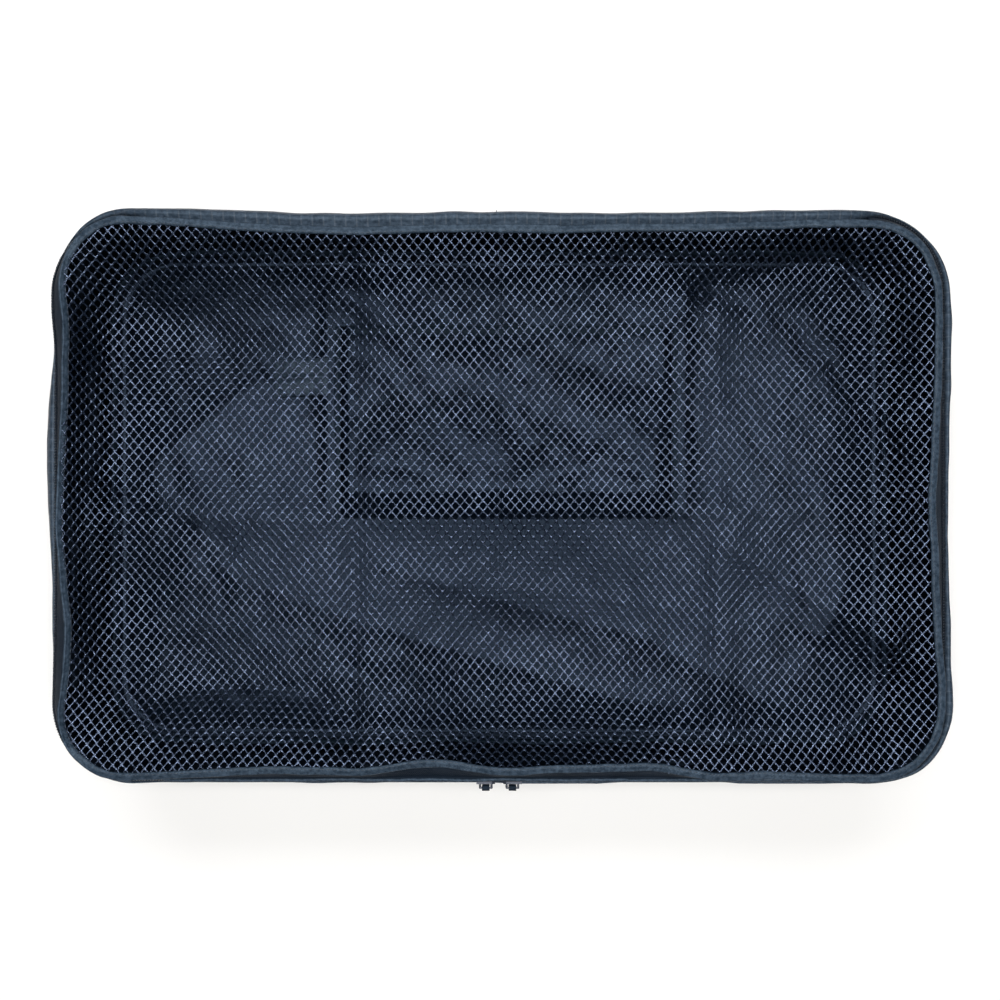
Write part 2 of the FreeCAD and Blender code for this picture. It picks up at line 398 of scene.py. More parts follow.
def net_material():
    """Glossy knitted yarn: dark with bright flecks where its filaments turn to the light."""
    m = Shade("net_yarn")
    fleck = m.noise(1700, 1, 0.6)
    tone = m.ramp(fleck, (0.0016, 0.0028, 0.0062), (0.013, 0.020, 0.036), (0.40, 0.72))
    bump = m.bump(fleck, 0.16 * MM, 0.8)
    return m.finish(Base_Color=tone, Roughness=m.spread(m.noise(900, 2), 0.20, 0.34), Normal=bump,
                    IOR=1.8, Specular_IOR_Level=m.spread(fleck, 0.07, 0.76, (0.34, 0.72)),
                    Specular_Tint=(0.51, 0.65, 0.98, 1))


def coil_material():
    m = Shade("zip_coil")
    tone = m.ramp(m.noise(300, 3), (0.010, 0.015, 0.024), (0.024, 0.032, 0.048))
    return m.finish(Base_Color=tone, Roughness=m.spread(m.noise(700, 2), 0.25, 0.42),
                    Normal=m.bump(m.noise(1500, 2), 0.03 * MM, 0.5))


def thread_material():
    m = Shade("sewing_thread")
    tone = m.ramp(m.noise(900, 2), (0.020, 0.030, 0.048), (0.050, 0.066, 0.094))
    return m.finish(Base_Color=tone, Roughness=m.spread(m.noise(1200, 2), 0.4, 0.6),
                    Normal=m.bump(m.noise(4000, 2), 0.05 * MM, 0.7))


def metal_material():
    """Painted zinc, rubbed lighter in patches."""
    m = Shade("slider_paint")
    worn = m.noise(900, 4, 0.7)
    tone = m.ramp(worn, (0.022, 0.028, 0.045), (0.075, 0.085, 0.11), (0.5, 0.86))
    return m.finish(Base_Color=tone, Roughness=m.spread(m.noise(350, 3), 0.22, 0.4), Metallic=0.35,
                    Normal=m.bump(m.noise(1400, 2), 0.03 * MM, 0.4), Coat_Weight=0.3)


def floor_material():
    m = Shade("pale_floor")
    tone = m.ramp(m.noise(3, 2), (0.80, 0.80, 0.80), (0.84, 0.84, 0.84))
    return m.finish(Base_Color=tone, Roughness=m.spread(m.noise(40, 2), 0.75, 0.85))


# ---------------------------------------------------------------- shape of the cloth
# Each list holds the crests and troughs of one slow wave of the soft rim. It runs clockwise from
# the middle of the back, as (distance along the rim, amount), in mm.
ROLL_OUT = [          # how far the wall's top stands out of the outline
    (0, 1.6), (50, 1.0), (150, 2.4), (175, 1.8), (235, 5.0), (320, 3.2), (430, 6.0), (465, 2.0),
    (505, 2.8), (540, 0.4), (600, 2.8), (650, 1.0), (695, 1.8), (745, 1.1), (800, 2.2), (840, 0.8),
    (880, 3.4), (960, 6.4), (1035, 0.4), (1065, 3.6), (1110, 3.0), (1175, 0.8), (1250, 1.6)]
BIND_SHIFT = [        # how far the lid's binding lies outside its place in the CAD
    (0, -1.1), (90, -0.9), (135, 0.9), (250, 2.8), (315, 0.2), (430, 5.0), (525, 3.3), (560, -0.6),
    (620, 1.3), (655, -2.3), (690, 1.7), (715, 0.8), (815, 4.5), (875, -0.6), (925, 3.0),
    (1005, 0.4), (1060, 3.3), (1185, -2.1), (1250, -1.1)]
ZIP_SHIFT = [         # how far the zip wanders out of its place in the CAD
    (0, 0), (170, 0), (195, 0.8), (400, 1.0), (432, 3.0), (466, 0), (784, 0), (830, 1.8),
    (900, 0.6), (1000, 0.5), (1025, 2.1), (1078, 0), (1250, 0)]


def along(s, table):
    """Value of one of the lists at distances s, in metres: flat at each crest and trough."""
    at = np.array([row[0] for row in table]) * MM * AROUND / 1.250
    value = np.array([row[1] for row in table]) * MM
    s = np.mod(s, AROUND)
    i = np.clip(np.searchsorted(at, s, side="right") - 1, 0, len(at) - 2)
    share = smooth((s - at[i]) / (at[i + 1] - at[i]))
    return value[i] * (1 - share) + value[i + 1] * share


def back_share(s):
    """1 on the zipless middle of the back, 0 past the ends of the zip."""
    away = np.minimum(np.mod(s, AROUND), AROUND - np.mod(s, AROUND))
    return smooth((STRAIGHT_X + 15 * MM - away) / (26 * MM))


def left_share(s):
    """1 along the left side, where the lid's edge stands upright."""
    return smooth((s - LEFT_RUN[0]) / 0.035) * smooth((LEFT_RUN[1] - s) / 0.022)


def binding_place(s):
    """Where the lid's binding runs: inset of its middle, height and tilt."""
    s = np.mod(s, AROUND)
    x, y, _, _ = rim(s)
    left = left_share(s)
    inset = BIND_OUT + 1.9 * MM - along(s, BIND_SHIFT) + 0.25 * MM * waves(x, y, 11, 0.03)
    z = RIM_TOP - 1.5 * MM - 0.9 * MM * left + 0.35 * MM * waves(x, y, 12, 0.06)
    level = -0.16 + 0.10 * smooth((y - (HALF_Y - 0.030)) / 0.022)
    return inset, z, 1.05 * left + level + 0.10 * waves(x, y, 13, 0.05)


def zip_rim(s, inset, z):
    """Points on the zip's own wandering line."""
    x, y, nx, ny = rim(s)
    inset = inset - along(s, ZIP_SHIFT)
    return np.stack([x - nx * inset, y - ny * inset, z + 0 * x], -1)


# ---------------------------------------------------------------- net
NET_INSET = BIND_OUT + 0.6 * MM
CELL_WIDE, CELL_TALL = 4.14 * MM, 5.0 * MM
YARN = 0.27 * MM


def net_sag(x, y):
    """How far the net drops below its binding, before its folds, and how free it is to fold."""
    d = np.maximum(inside(x, y, NET_INSET), 0)
    steep_left = smooth((-x - 0.02) / 0.14) * between(y, -0.09, 0.10, 0.05)
    arch = np.cos(0.5 * math.pi * np.clip((x - 0.015) / 0.088, -1, 1))
    steep_front = smooth((0.02 - y) / 0.10) * arch
    steep = np.maximum(steep_left, steep_front)
    steep_front = np.minimum(steep_front, 1 - steep_left)
    reach = 0.044 * (1 - steep) + 0.0130 * steep_left + 0.0175 * steep_front
    depth = 0.0130 + 0.0030 * steep_left + 0.0125 * steep_front
    z = -depth * (1 - np.exp(-(d / reach) ** 1.15))
    return z, smooth(d / 0.018)


def net_height(x, y):
    """Height of the loose net: it sags inside its binding and keeps its storage folds."""
    sag, free = net_sag(x, y)
    return RIM_TOP - 2.0 * MM + sag + free * net_folds(x, y)


def blur(table, cells):
    """Softens a table by three running averages each way."""
    for axis in (0, 1, 0, 1, 0, 1):
        pad = [(0, 0), (0, 0)]
        pad[axis] = (cells + 1, cells)
        run = np.cumsum(np.pad(table, pad, mode="edge"), axis=axis)
        high = np.take(run, np.arange(2 * cells + 1, run.shape[axis]), axis=axis)
        low = np.take(run, np.arange(run.shape[axis] - 2 * cells - 1), axis=axis)
        table = (high - low) / (2 * cells + 1)
    return table


NET_FOLDS = [         # height in mm, two ends, reach of the flanks
    (-2.8, (0.060, 0.118), (0.094, 0.090), 0.014), (-4.8, (0.088, 0.092), (0.156, 0.112), 0.013),
    (3.2, (0.100, -0.020), (0.180, -0.068), 0.012), (2.0, (-0.060, -0.034), (0.085, -0.052), 0.018),
    (-3.4, (0.150, 0.060), (0.188, 0.004), 0.009), (-3.0, (-0.185, 0.012), (-0.120, -0.024), 0.010)]


def net_folds(x, y):
    """Storage folds: long ridges and hollows across, two upright creases, a V at the back."""
    crest_y = -0.0068 + 0.0178 * x + 1.3 * MM * np.sin(x * 34 + 0.6)
    z = 5.4 * MM * kink(y - crest_y, 0.030, 0.0160, 2.2 * MM) * (1 - 0.5 * smooth((x - 0.10) / 0.05))
    z = z - 5.5 * MM * kink(y - 0.067, 0.040, 0.024, 2.0 * MM) * smooth((-0.050 - x) / 0.03)
    z = z - 4.5 * MM * kink(y - 0.036, 0.036, 0.020, 3.0 * MM) * between(x, -0.062, 0.096, 0.03)
    z = z - 3.5 * MM * kink(y - 0.072, 0.040, 0.028, 3.0 * MM) * smooth((x - 0.082) / 0.03)
    arch_y = -0.0870 - 4.0 * (x + 0.115) ** 2
    z = z - 7.5 * MM * kink(y - arch_y, 0.018, 0.018, 0.9 * MM) * between(x, -0.158, -0.068, 0.03)
    z = z - 2.6 * MM * fold(x + 0.066, 0.008, 1.2 * MM) + 3.2 * MM * fold(x - 0.098, 0.011, 1.2 * MM)
    z = z - 5.0 * MM * hill(x, y, (0.150, 0.088), (0.028, 0.018))
    for height, a, b, reach in NET_FOLDS:
        z = z + height * MM * crease(x, y, a, b, reach)
    return z + 0.8 * MM * waves(x, y, 21, 0.055) + 0.20 * MM * waves(x, y, 22, 0.020)


def net_drape():
    """Grids that turn a place on the flat net into a place on the plan, keeping its length."""
    step = 1.0 * MM
    xs = np.arange(-HALF_X, HALF_X + step, step)
    ys = np.arange(-HALF_Y, HALF_Y + step, step)
    gx, gy = np.meshgrid(xs, ys, indexing="ij")
    sag_x, sag_y = np.gradient(net_sag(gx, gy)[0], step)
    fold_x, fold_y = np.gradient(net_folds(gx, gy), step)
    rate_x = np.sqrt(1 + sag_x ** 2) + blur(np.sqrt(1 + fold_x ** 2) - 1, 7)
    rate_y = np.sqrt(1 + sag_y ** 2) + blur(np.sqrt(1 + fold_y ** 2) - 1, 7)
    along_x = np.cumsum(blur(rate_x, 2), axis=0) * step
    along_y = np.cumsum(blur(rate_y, 2), axis=1) * step
    mid_x, mid_y = len(xs) // 2, len(ys) // 2
    return (xs, ys, along_x - along_x[mid_x:mid_x + 1], along_y - along_y[:, mid_y:mid_y + 1],
            rate_x, rate_y)


def look_up(xs, ys, table, x, y):
    """Bilinear value of a table at places on the plan."""
    fx = np.clip((x - xs[0]) / (xs[1] - xs[0]), 0, len(xs) - 1.001)
    fy = np.clip((y - ys[0]) / (ys[1] - ys[0]), 0, len(ys) - 1.001)
    i, j = fx.astype(int), fy.astype(int)
    fx, fy = fx - i, fy - j
    return (table[i, j] * (1 - fx) * (1 - fy) + table[i + 1, j] * fx * (1 - fy)
            + table[i, j + 1] * (1 - fx) * fy + table[i + 1, j + 1] * fx * fy)


def lay_net(u, v):
    """Place on the plan of each place (u, v) on the flat net."""
    xs, ys, along_x, along_y, rate_x, rate_y = net_drape()
    x, y = u * 0.97, v * 0.97
    for _ in range(30):
        x = x + 0.7 * (u - look_up(xs, ys, along_x, x, y)) / look_up(xs, ys, rate_x, x, y)
        y = y + 0.7 * (v - look_up(xs, ys, along_y, x, y)) / look_up(xs, ys, rate_y, x, y)
        x, y = np.clip(x, xs[0], xs[-1]), np.clip(y, ys[0], ys[-1])
    return x, y


def sharpen(obj, chosen):
    """Keeps the edges between chosen points crisp, so that yarn shines along its crest."""
    ends = np.zeros(2 * len(obj.data.edges), int)
    obj.data.edges.foreach_get("vertices", ends)
    crisp = chosen[ends].reshape(-1, 2).all(axis=1)
    layer = obj.data.attributes.new("sharp_edge", "BOOLEAN", "EDGE")
    layer.data.foreach_set("value", crisp)


def net_cells():
    """Centres of the cells in quarter-cell steps, staggered from row to row."""
    across = int(HALF_X * 1.35 / CELL_WIDE)
    up = int(HALF_Y * 1.45 / CELL_TALL)
    i, j = np.meshgrid(np.arange(-across, across + 1), np.arange(-up, up + 1), indexing="ij")
    even = np.stack([4 * i.ravel(), 4 * j.ravel()], 1)
    return np.vstack([even, even + 2])


def net_edge(x, y):
    """Distance inwards from the middle line of the wandering binding."""
    s = np.linspace(0, AROUND, 1200, endpoint=False)
    inset, _, _ = binding_place(s)
    rx, ry, _, _ = rim(s)
    order = np.argsort(np.arctan2(ry, rx))
    here = np.interp(np.arctan2(y, x), np.arctan2(ry, rx)[order], inset[order], period=2 * math.pi)
    return inside(x, y, 0) - here


def make_net(material):
    """Net of diamond cells: each cell is a ring of yarn with a ridge above and below."""
    rng = np.random.default_rng(5)
    cells = net_cells()
    x, y = lay_net(cells[:, 0] * CELL_WIDE / 4, cells[:, 1] * CELL_TALL / 4)
    cells = cells[net_edge(x, y) > 0.5 * MM]
    ring = np.array([(2, 0), (1, 1), (0, 2), (-1, 1), (-2, 0), (-1, -1), (0, -2), (1, -1)])
    shrink = np.array([0.695, 0.815, 0.66, 0.815, 0.695, 0.805, 0.755, 0.805])
    outer = (cells[:, None] + ring[None]).reshape(-1, 2)
    knots, which = np.unique(outer, axis=0, return_inverse=True)
    which = which.reshape(-1, 8)
    count, corners = len(knots), len(cells) * 8
    jitter = rng.normal(0, 0.055 * MM, knots.shape)
    flat_out = knots * np.array([CELL_WIDE, CELL_TALL]) / 4 + jitter
    size = 1 + rng.normal(0, 0.035, (len(cells), 1, 1))
    flat_in = cells[:, None] + ring[None] * shrink[None, :, None] * size
    flat_in = flat_in.reshape(-1, 2) * np.array([CELL_WIDE, CELL_TALL]) / 4
    flat = np.vstack([flat_out, flat_in])
    px, py = lay_net(flat[:, 0], flat[:, 1])
    pz = net_height(px, py)
    knot = np.where(np.abs(knots).sum(1) % 4 == 2, 1.25, 0.95) * YARN
    knot = knot * (1 + rng.normal(0, 0.10, count))
    slope = [(net_height(px[:count] + 0.4 * MM, py[:count]) - pz[:count]) / (0.4 * MM),
             (net_height(px[:count], py[:count] + 0.4 * MM) - pz[:count]) / (0.4 * MM)]
    lift = np.stack([-slope[0], -slope[1], np.ones(count)], 1)
    lift /= np.linalg.norm(lift, axis=1)[:, None]
    on = np.stack([px, py, pz], 1)
    points = np.vstack([on[:count] + lift * knot[:, None], on[count:],
                        on[:count] - lift * knot[:, None]])
    inner = (count + np.arange(corners)).reshape(-1, 8)
    below = which + count + corners
    nxt = np.roll(np.arange(8), -1)
    top = np.stack([which, which[:, nxt], inner[:, nxt], inner], -1)
    low = np.stack([below, inner, inner[:, nxt], below[:, nxt]], -1)
    centre_x = cells[:, 0]
    halves = {"net_left": centre_x < 0, "net_right": centre_x >= 0}
    made = []
    for name, mine in halves.items():
        a, b = which[mine].ravel(), which[:, nxt][mine].ravel()
        pair = np.stack([np.minimum(a, b), np.maximum(a, b)], 1)
        _, back, uses = np.unique(pair, axis=0, return_inverse=True, return_counts=True)
        open_edge = uses[back.ravel()] == 1
        a, b = a[open_edge], b[open_edge]
        under = count + corners
        rim_faces = np.stack([b, a, a + under, b + under], 1)
        faces = np.vstack([top[mine].reshape(-1, 4), low[mine].reshape(-1, 4), rim_faces])
        used, packed = np.unique(faces, return_inverse=True)
        half = make_object(name, points[used], packed.reshape(-1, 4), material)
        sharpen(half, (used >= count) & (used < under))
        made.append(half)
    return made


# ---------------------------------------------------------------- lid
BIND_SECTION = [(1.85, -0.15), (1.7, 0.35), (1.2, 0.62), (0.75, 0.48), (0.3, 0.66), (-0.5, 0.72),
                (-1.3, 0.62), (-1.8, 0.32), (-1.9, -0.15), (-1.5, -0.55), (-0.2, -0.66), (1.3, -0.55)]


def make_binding(material):
    s = np.linspace(0, AROUND, 900, endpoint=False)
    inset, z, tilt = binding_place(s)
    section = np.array(BIND_SECTION) * MM
    obj = sweep("lid_binding_cloth", s, inset, z, tilt, section, material)
    pucker(obj, 0.16 * MM, 0.009, 31)
    return obj


def pucker(obj, height, length, seed):
    """Moves points along their normals by small uneven ripples."""
    mesh = obj.data
    co = np.array([v.co for v in mesh.vertices])
    no = np.array([v.normal for v in mesh.vertices])
    ripple = waves(co[:, 0] + co[:, 2], co[:, 1] - co[:, 2], seed, length)
    co = co + no * (height * ripple)[:, None]
    mesh.vertices.foreach_set("co", co.ravel())
    mesh.update()


def make_binding_lap(material):
    """Second layer where the binding's two ends overlap."""
    s = np.linspace(LAP_LOW[0], LAP_HIGH[0], 40)
    inset, z, _ = binding_place(s)
    section = np.array(BIND_SECTION) * MM * 1.12
    ends = 1 - 0.35 * smooth(1 - np.minimum(s - s[0], s[-1] - s) / (1.2 * MM))
    x, y, nx, ny = rim(s)
    points = np.zeros((len(s), len(section), 3))
    for k, (out, up) in enumerate(section):
        o = out * ends - inset
        points[:, k] = np.stack([x + nx * o, y + ny * o, z + up * ends + 0.12 * MM], -1)
    obj = grid_object("lid_binding_lap_cloth", points, material, wrap_v=True)
    pucker(obj, 0.12 * MM, 0.010, 33)
    return obj


def make_stitches(material):
    """Row of thread along the binding's inner edge, standing on its tilted top."""
    s = np.linspace(0, AROUND, 1800)
    inset, z, tilt = binding_place(s)
    x, y, nx, ny = rim(s)
    inner, up = 1.15 * MM, 0.86 * MM
    out = -(inset + inner * np.cos(tilt)) - up * np.sin(tilt)
    height = z - inner * np.sin(tilt) + up * np.cos(tilt)
    line = np.stack([x + nx * out, y + ny * out, height], -1)
    return thread_row("binding_stitches", line, 2.6 * MM, 1.9 * MM, 0.16 * MM, material)


def thread_row(name, line, pitch, long, thick, material):
    """Short rounded threads laid end to end along a line of points."""
    run = np.concatenate([[0], np.cumsum(np.linalg.norm(np.diff(line, axis=0), axis=1))])
    starts = np.arange(pitch / 2, run[-1] - pitch, pitch)
    shares = np.array([0.0, 0.08, 0.5, 0.92, 1.0])
    swell = np.array([0.15, 0.8, 1.0, 0.8, 0.15])
    drop = np.array([-1.0, -0.2, 0.5, -0.2, -1.0]) * thick
    sides = 6
    angles = np.arange(sides) * 2 * math.pi / sides
    points, faces = [], []
    for start in starts:
        at = start + shares * long
        centre = np.stack([np.interp(at, run, line[:, k]) for k in range(3)], 1)
        centre[:, 2] += drop
        way = centre[-1] - centre[0]
        way /= np.linalg.norm(way)
        side = np.cross(way, (0, 0, 1))
        side /= np.linalg.norm(side)
        top = np.cross(side, way)
        first = len(points)
        for c, w in zip(centre, swell):
            for a in angles:
                points.append(c + (side * math.cos(a) + top * math.sin(a)) * thick * w)
        quads, _ = grid_faces(len(shares), sides, wrap_v=True)
        faces.append(quads + first)
    return make_object(name, np.array(points), np.vstack(faces), material)


def zip_stretch(count, short=0.0):
    """Distances along the zipped part of the rim, from one end of the zip to the other."""
    return np.linspace(STRAIGHT_X + short, AROUND - STRAIGHT_X - short, count)


def make_upper_tape(material):
    """Tape from the binding down to the coil; along the front it folds over the coil like a cord."""
    s = zip_stretch(700, 0.8 * MM)
    inset, z, tilt = binding_place(s)
    x, y, nx, ny = rim(s)
    shift = along(s, ZIP_SHIFT)
    front = between(s, *TAPE_FOLD, 0.012)
    inset = inset - 0.9 * MM * np.cos(tilt)
    z = z - 0.2 * MM
    top_in, top_z = TAPE_IN + 0.35 * MM - shift, CHAIN_Z + 2.3 * MM + 0 * s
    rows = [(inset, z)]
    for share in (0.75, 0.5, 0.25):
        belly = 0.5 * MM * math.sin(math.pi * share)
        rows.append((inset * share + top_in * (1 - share) - belly, z * share + top_z * (1 - share)))
    rows.append((top_in, top_z))
    folded = [(2.0, 2.3), (1.5, 2.2), (1.2, 2.1), (0.95, 1.9), (0.8, 1.6)]
    plain = [(2.3, 1.9), (2.25, 1.5), (2.2, 1.1), (2.2, 0.8), (2.2, 0.6)]
    for (fold_in, fold_up), (plain_in, plain_up) in zip(folded, plain):
        row_in = fold_in * MM * front + plain_in * MM * (1 - front) - shift
        rows.append((row_in, CHAIN_Z + fold_up * MM * front + plain_up * MM * (1 - front)))
    points = np.stack([np.stack([x - nx * i, y - ny * i, h + 0 * i], -1) for i, h in rows], 1)
    obj = grid_object("zip_tape_upper_cloth", points, material, flip=True)
    return thicken(obj, 0.4 * MM, 0)


def make_tape_fold(material):
    """Rounded fold of the upper tape that covers the coil along the front, like a cord."""
    low, high = TAPE_FOLD[0] + 2 * MM, TAPE_FOLD[1] - 2 * MM
    s = np.linspace(low, high, 300)
    x, y, nx, ny = rim(s)
    ends = smooth((s - low) / 0.008) * smooth((high - s) / 0.008)
    centre_in = 1.35 * MM + 0.25 * MM * waves(x, y, 14, 0.03) - 0.3 * MM * ends
    points = []
    for turn in np.linspace(0, 2 * math.pi, 13)[:-1]:
        out = (0.72 * math.cos(turn)) * MM * (0.3 + 0.7 * ends) - centre_in
        up = 0.62 * math.sin(turn) * MM * (0.3 + 0.7 * ends)
        points.append(np.stack([x + nx * out, y + ny * out, CHAIN_Z + 2.95 * MM + up], -1))
    obj = grid_object("zip_tape_fold", np.stack(points, 1), material, wrap_v=True, flip=True)
    pucker(obj, 0.10 * MM, 0.008, 35)
    return obj


def make_lower_tape(material):
    s = zip_stretch(620)
    rows = [zip_rim(s, TAPE_IN + 0.2 * MM + bow * MM, h) for bow, h in
            ((0.3, CHAIN_Z - 11 * MM), (0.35, CHAIN_Z - 8 * MM), (0.2, CHAIN_Z - 5 * MM),
             (0.1, CHAIN_Z - 2.5 * MM), (0.05, CHAIN_Z - 0.6 * MM), (0.6, CHAIN_Z + 0.5 * MM),
             (0.85, CHAIN_Z + 1.4 * MM), (0.9, CHAIN_Z + 2.1 * MM))]
    obj = grid_object("zip_tape_lower_cloth", np.stack(rows, 1), material, flip=True)
    return thicken(obj, 0.45 * MM, 0)


def make_coil(name, up, short, material):
    """One row of coil: a flattened helix along the zip. up is 1 for the lid's row."""
    pitch, per_turn, sides, wire = 1.25 * MM, 10, 5, 0.27 * MM
    length = AROUND - 2 * STRAIGHT_X - 2 * short
    turns = int(length / pitch)
    t = np.arange(turns * per_turn + 1) / per_turn
    angle = 2 * math.pi * t
    s = STRAIGHT_X + short + (t + 0.25 * (1 + up)) * pitch
    s = np.minimum(s, AROUND - STRAIGHT_X - short)
    lean = 0.16 * MM * np.sin(angle + 0.6)
    inset = COIL_IN - 0.55 * MM * np.cos(angle)
    z = CHAIN_Z + up * (1.02 * MM + 1.22 * MM * np.sin(angle))
    line = zip_rim(s + lean, inset, z)
    way = np.gradient(line, axis=0)
    way /= np.linalg.norm(way, axis=1)[:, None]
    middle = zip_rim(s, COIL_IN + 0 * s, CHAIN_Z + up * 1.02 * MM)
    out = line - middle
    out -= way * np.sum(out * way, axis=1)[:, None]
    out /= np.linalg.norm(out, axis=1)[:, None]
    side = np.cross(way, out)
    rounds = np.arange(sides) * 2 * math.pi / sides
    points = (line[:, None] + wire * (out[:, None] * np.cos(rounds)[None, :, None]
                                      + side[:, None] * np.sin(rounds)[None, :, None]))
    return grid_object(name, points, material, wrap_v=True)


# ---------------------------------------------------------------- walls and base
def wall_grid():
    """Wall cloth from the base seam up to the zip, or over to the lid at the back."""
    ns, nv = 560, 56
    s = np.linspace(0, AROUND, ns, endpoint=False)
    x, y, nx, ny = rim(s)
    front = between(s, *FRONT_RUN, 0.030)
    left = left_share(s)
    roll = along(s, ROLL_OUT) - 1.1 * MM * (1 - front) + 0.2 * MM * waves(x, y, 3, 0.02)
    roll = roll + 0.4 * MM * left
    roll = roll - front * np.maximum(roll - 2.2 * MM, 0)
    shift = along(s, ZIP_SHIFT)
    back = back_share(s)
    bind_in, _, _ = binding_place(s)
    crest = 85.9 * MM * front + 91.4 * MM * (1 - front) - 2.6 * MM * left
    grid = np.zeros((ns, nv, 3))
    for i in range(ns):
        r, top, z_in = roll[i], crest[i], shift[i]
        lip = max(-0.1 * MM + z_in, -0.1 * MM) * (1 - front[i]) + 0.9 * MM * front[i]
        drop = 2.6 * MM * left[i]
        wide = max(r - lip, 0.6 * MM)
        low = [(-SEAM_IN - 1.6 * MM, SEAM_Z + 0.2 * MM), (-0.5 * MM, SEAM_Z + 0.8 * MM),
               (0.3 * MM, 11 * MM), (0.8 * MM, 24 * MM), (0.4 * MM, 44 * MM),
               (0.55 * r, 64 * MM), (0.9 * r, 76 * MM)]
        zipped = low + [(lip + wide, top - 3.2 * MM - drop),
                        (lip + 0.8 * wide, top - 0.6 * MM - drop),
                        (lip + 0.45 * wide, top - 0.5 * drop), (lip + 0.08 * wide, top - 0.7 * MM),
                        (lip - 0.15 * MM, top - 3.4 * MM), (-0.6 * MM + z_in, 84.5 * MM),
                        (-1.2 * MM + z_in, 82.0 * MM)]
        hinged = low + [(r, 86.0 * MM), (r - 0.4 * MM, 92.0 * MM), (r - 1.9 * MM, 96.3 * MM),
                        (r - 3.2 * MM, 96.9 * MM), (r - 5.0 * MM, 96.1 * MM),
                        (-(bind_in[i] - 2.0 * MM), 94.9 * MM), (-(bind_in[i] - 0.8 * MM), 94.8 * MM)]
        section = np.array(zipped) * (1 - back[i]) + np.array(hinged) * back[i]
        curve = spline(section, nv)
        grid[i, :, 0] = x[i] + nx[i] * curve[:, 0]
        grid[i, :, 1] = y[i] + ny[i] * curve[:, 0]
        grid[i, :, 2] = curve[:, 1]
    return s, grid


def wall_wrinkles(s, z, x, y):
    """How far the wall cloth stands out of its smooth shape, by place along and height."""
    t = s[:, None] + 0 * z
    body = smooth((z - 0.0044) / 0.014) * smooth((0.086 - z) / 0.016)
    bend = z - 0.046 - 1.5 * MM * np.sin(t * 21)
    out = -1.9 * MM * fold(bend, 0.008)
    for place in (-0.066, 0.098):
        out = out - 1.5 * MM * fold(x - place, 0.007) * (np.abs(y) > STRAIGHT_Y)
    for place in (-0.009, 0.067, -0.089):
        out = out - 1.3 * MM * fold(y - place, 0.007) * (np.abs(x) > STRAIGHT_X)
    out = out + 1.5 * MM * waves(t, z * 1.6, 41, 0.085) + 0.8 * MM * waves(t, z * 0.7, 42, 0.038)
    out = out + 0.35 * MM * waves(t, z, 43, 0.016)
    corner = np.minimum(np.abs(np.abs(x) - HALF_X), 1) + np.minimum(np.abs(np.abs(y) - HALF_Y), 1)
    out = out + 0.9 * MM * np.sin(t * 320 + 5 * np.sin(t * 50)) * np.exp(-(corner / 0.03) ** 2)
    return out * body


def make_wall_seam(wall, material):
    """Row of thread down the seam in the middle of the back, lying on the wall cloth."""
    co = np.array([v.co for v in wall.data.vertices])
    near = co[(np.abs(co[:, 0]) < 0.8 * MM) & (co[:, 1] > HALF_Y - 8 * MM) & (co[:, 2] > 6 * MM)]
    heights = np.linspace(8 * MM, 96.5 * MM, 90)
    outer = [near[np.abs(near[:, 2] - h) < 2.2 * MM][:, 1].max() for h in heights]
    line = np.stack([np.full(90, -1.2 * MM), np.array(outer) + 0.05 * MM, heights], -1)
    return thread_row("wall_seam_stitches", line, 2.4 * MM, 1.9 * MM, 0.22 * MM, material)


def make_wall(material, inner):
    s, grid = wall_grid()
    x, y, nx, ny = rim(s)
    z = grid[..., 2].copy()
    out = wall_wrinkles(s, z, x[:, None] + 0 * z, y[:, None] + 0 * z)
    front = smooth((-y - (HALF_Y - 0.02)) / 0.02)[:, None] * smooth((z - 0.055) / 0.01)
    out = out - np.maximum(out, 0) * front * 0.8
    grid[..., 0] += nx[:, None] * out
    grid[..., 1] += ny[:, None] * out
    obj = grid_object("wall_cloth", grid, material, wrap_u=True, flip=True)
    # The inner shell of the wall takes the painted-shade copy of the ripstop: the same cloth, darker
    # for the shade inside the cube.
    obj.data.materials.append(inner)
    thicken(obj, 0.5 * MM, -1)
    obj.modifiers["thickness"].material_offset = 1
    return settle(obj)


BASE_FOLDS = [        # height in mm, two ends, reach of the flanks
    (0.7, (-0.165, -0.030), (-0.030, -0.077), 0.012), (0.7, (-0.035, -0.075), (0.110, -0.118), 0.013),
    (0.6, (-0.070, -0.032), (0.075, -0.072), 0.010), (0.6, (0.070, -0.070), (0.165, -0.120), 0.012),
    (0.8, (-0.190, 0.010), (-0.120, 0.062), 0.012), (0.8, (0.165, -0.075), (0.192, -0.020), 0.009)]


def base_height(x, y):
    """Base cloth: flat on the table, turned up at its seam, with long diagonal folds."""
    d = inside(x, y, SEAM_IN)
    z = 0.55 * MM + (SEAM_Z - 0.55 * MM) * smooth((0.007 - d) / 0.007)
    free = smooth((d - 0.002) / 0.02)
    folds = 0 * x
    for height, a, b, reach in BASE_FOLDS:
        folds = folds + height * MM * crease(x, y, a, b, reach)
    for place in (-0.0875, 0.0945):
        folds = folds + 0.9 * MM * fold(x - place, 0.005) * smooth((y + 0.02) / 0.02)
    ripple = 0.16 * MM * waves(x, y, 51, 0.05) + 0.06 * MM * waves(x, y, 52, 0.018)
    return z + free * (folds + np.abs(ripple))


